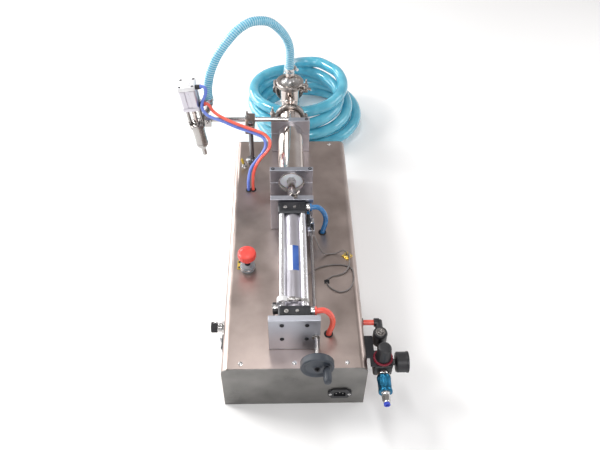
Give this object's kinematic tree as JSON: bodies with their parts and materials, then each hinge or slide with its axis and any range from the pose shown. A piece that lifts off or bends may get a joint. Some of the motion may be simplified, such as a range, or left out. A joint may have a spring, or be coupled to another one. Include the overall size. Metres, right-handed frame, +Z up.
{
  "type": "piston liquid filler",
  "caption": "Tabletop pneumatic piston filler: steel cabinet, air cylinder driving a product cylinder with check-valve tee, suction hose and a shut-off nozzle on a side arm.",
  "frame": {"origin": "centre of the cabinet's underside, on the surface it stands on", "axes": "+X to the operator's right, +Y from the operator to the back of the machine, +Z up"},
  "size_m": [0.519, 1.238, 0.4895],
  "materials": {
    "stainless": "satin brushed sheet and bar, faint smears",
    "polished": "polished stainless tube",
    "aluminium": "machined, clear anodised",
    "anodised": "extruded profile, silver anodised",
    "cast_cap": "die cast, black coated",
    "ptfe": "white turned PTFE",
    "red_plastic": "moulded, semi-gloss",
    "grey_plastic": "moulded, satin",
    "black_plastic": "moulded, fine texture",
    "gauge_case": "moulded black case, white dial",
    "needle": "matt black",
    "nickel": "bright nickel plate",
    "toggle_white": "white sleeve",
    "blue_anodised": "blue anodised, satin",
    "circuit": "moulded case",
    "outlet_hose": "light blue PVC with a steel wire spiral",
    "suction_hose": "translucent blue PVC, glossy",
    "tube_red": "polyurethane, semi-gloss",
    "tube_blue": "polyurethane, semi-gloss",
    "cable": "PVC sheath, satin"
  },
  "bodies": {
    "machine": {"air_cylinder_barrel": "anodised", "air_cylinder_front_cap": "cast_cap", "air_cylinder_rear_cap": "cast_cap", "arm_post": "stainless", "cabinet_cover": "stainless", "carriage_cable": "cable", "chassis_tray": "stainless", "control_box": "circuit", "cross_clamp": "aluminium", "cylinder_clamp_front_lower": "aluminium", "cylinder_clamp_front_upper": "aluminium", "cylinder_clamp_rear_lower": "aluminium", "cylinder_clamp_rear_upper": "aluminium", "cylinder_tube_blue": "tube_blue", "cylinder_tube_red": "tube_red", "estop_base": "grey_plastic", "front_cable": "cable", "front_mount_plate": "aluminium", "inlet_barb": "polished", "middle_mount_plate": "aluminium", "nozzle_tube_blue": "tube_blue", "nozzle_tube_red": "tube_red", "outlet_barb": "polished", "outlet_hose": "outlet_hose", "pedal_socket": "nickel", "power_inlet": "black_plastic", "pressure_gauge": "gauge_case", "product_cylinder": "polished", "regulator_body": "black_plastic", "regulator_bracket": "stainless", "regulator_elbow": "black_plastic", "regulator_tube_red": "tube_red", "rocker_frame": "black_plastic", "slide_valve_body": "nickel", "solenoid_valve": "aluminium", "suction_hose": "suction_hose", "suction_hose_coil": "suction_hose", "toggle_base": "nickel", "tri_clamp_cylinder": "stainless", "tri_clamp_outlet": "stainless", "valve_tee": "polished"},
    "piston": {"piston_rod": "polished", "product_piston": "ptfe"},
    "metering_screw": {"handwheel": "black_plastic", "lead_screw": "stainless"},
    "crank_grip": {"crank_handle": "black_plastic"},
    "sensor_slide": {"sensor_carriage": "aluminium"},
    "estop_button": {"estop_plunger": "black_plastic"},
    "estop_mushroom": {"estop_head": "red_plastic"},
    "toggle": {"toggle_lever": "toggle_white"},
    "rocker": {"rocker_paddle": "grey_plastic"},
    "pressure_knob": {"regulator_knob": "black_plastic"},
    "needle": {"gauge_needle": "needle"},
    "shutoff_sleeve": {"slide_valve_sleeve": "blue_anodised"},
    "nozzle_carrier": {"nozzle_arm": "stainless", "nozzle_body": "stainless", "nozzle_actuator": "anodised"},
    "stem": {"nozzle_stem": "polished"},
    "outlet_ball": {"outlet_valve_ball": "polished"},
    "inlet_ball": {"inlet_valve_ball": "polished"}
  },
  "joints": [
    {"name": "piston_stroke", "type": "slide", "parent": "machine", "child": "piston", "axis": [0, 1, 0], "range_m": [0, 0.2]},
    {"name": "handwheel_turn", "type": "hinge", "parent": "machine", "child": "metering_screw", "pos_m": [0.0435, -0.362, 0.185], "axis": [0, 1, 0], "range_deg": [0, 7200]},
    {"name": "crank_spin", "type": "hinge", "parent": "metering_screw", "child": "crank_grip", "pos_m": [0.062, -0.407, 0.189], "axis": [0, 1, 0], "continuous": true},
    {"name": "sensor_travel", "type": "slide", "parent": "machine", "child": "sensor_slide", "axis": [0, -1, 0], "range_m": [0, 0.16], "deforming": ["carriage_cable"]},
    {"name": "estop_press", "type": "slide", "parent": "machine", "child": "estop_button", "axis": [0, 0, -1], "range_m": [0, 0.006]},
    {"name": "estop_twist", "type": "hinge", "parent": "estop_button", "child": "estop_mushroom", "pos_m": [-0.103, -0.095, 0.18], "axis": [0, 0, -1], "range_deg": [0, 30], "stiffness_Nm_per_rad": 0.05},
    {"name": "toggle_flip", "type": "hinge", "parent": "machine", "child": "toggle", "pos_m": [-0.124, 0.258, 0.141], "axis": [0, 1, 0], "range_deg": [0, 24]},
    {"name": "rocker_tilt", "type": "hinge", "parent": "machine", "child": "rocker", "pos_m": [-0.1495, -0.279, 0.112], "axis": [0, 0, 1], "range_deg": [-16, 0]},
    {"name": "pressure_set", "type": "hinge", "parent": "machine", "child": "pressure_knob", "pos_m": [0.185, -0.326, 0.14], "axis": [0, 0, 1], "range_deg": [-900, 900]},
    {"name": "needle_swing", "type": "hinge", "parent": "machine", "child": "needle", "pos_m": [0.2364, -0.326, 0.104], "axis": [-1, 0, 0], "range_deg": [-90, 180]},
    {"name": "shutoff_slide", "type": "slide", "parent": "machine", "child": "shutoff_sleeve", "axis": [0, -1, 0], "range_m": [0, 0.012]},
    {"name": "arm_reach", "type": "slide", "parent": "machine", "child": "nozzle_carrier", "axis": [1, 0, 0], "range_m": [-0.06, 0.06], "deforming": ["outlet_hose", "nozzle_tube_red", "nozzle_tube_blue"]},
    {"name": "stem_lift", "type": "slide", "parent": "nozzle_carrier", "child": "stem", "axis": [-0.1132, 0, 0.9936], "range_m": [0, 0.01], "stiffness_N_per_m": 300, "springref_m": -0.004},
    {"name": "outlet_ball_lift", "type": "slide", "parent": "machine", "child": "outlet_ball", "axis": [0, 0, 1], "range_m": [0, 0.008]},
    {"name": "inlet_ball_lift", "type": "slide", "parent": "machine", "child": "inlet_ball", "axis": [0, -1, 0], "range_m": [0, 0.008], "stiffness_N_per_m": 60}
  ],
  "couplings": [
    {"joint": "sensor_travel", "follows": "handwheel_turn", "m_per_rad": 0.0012732}
  ]
}
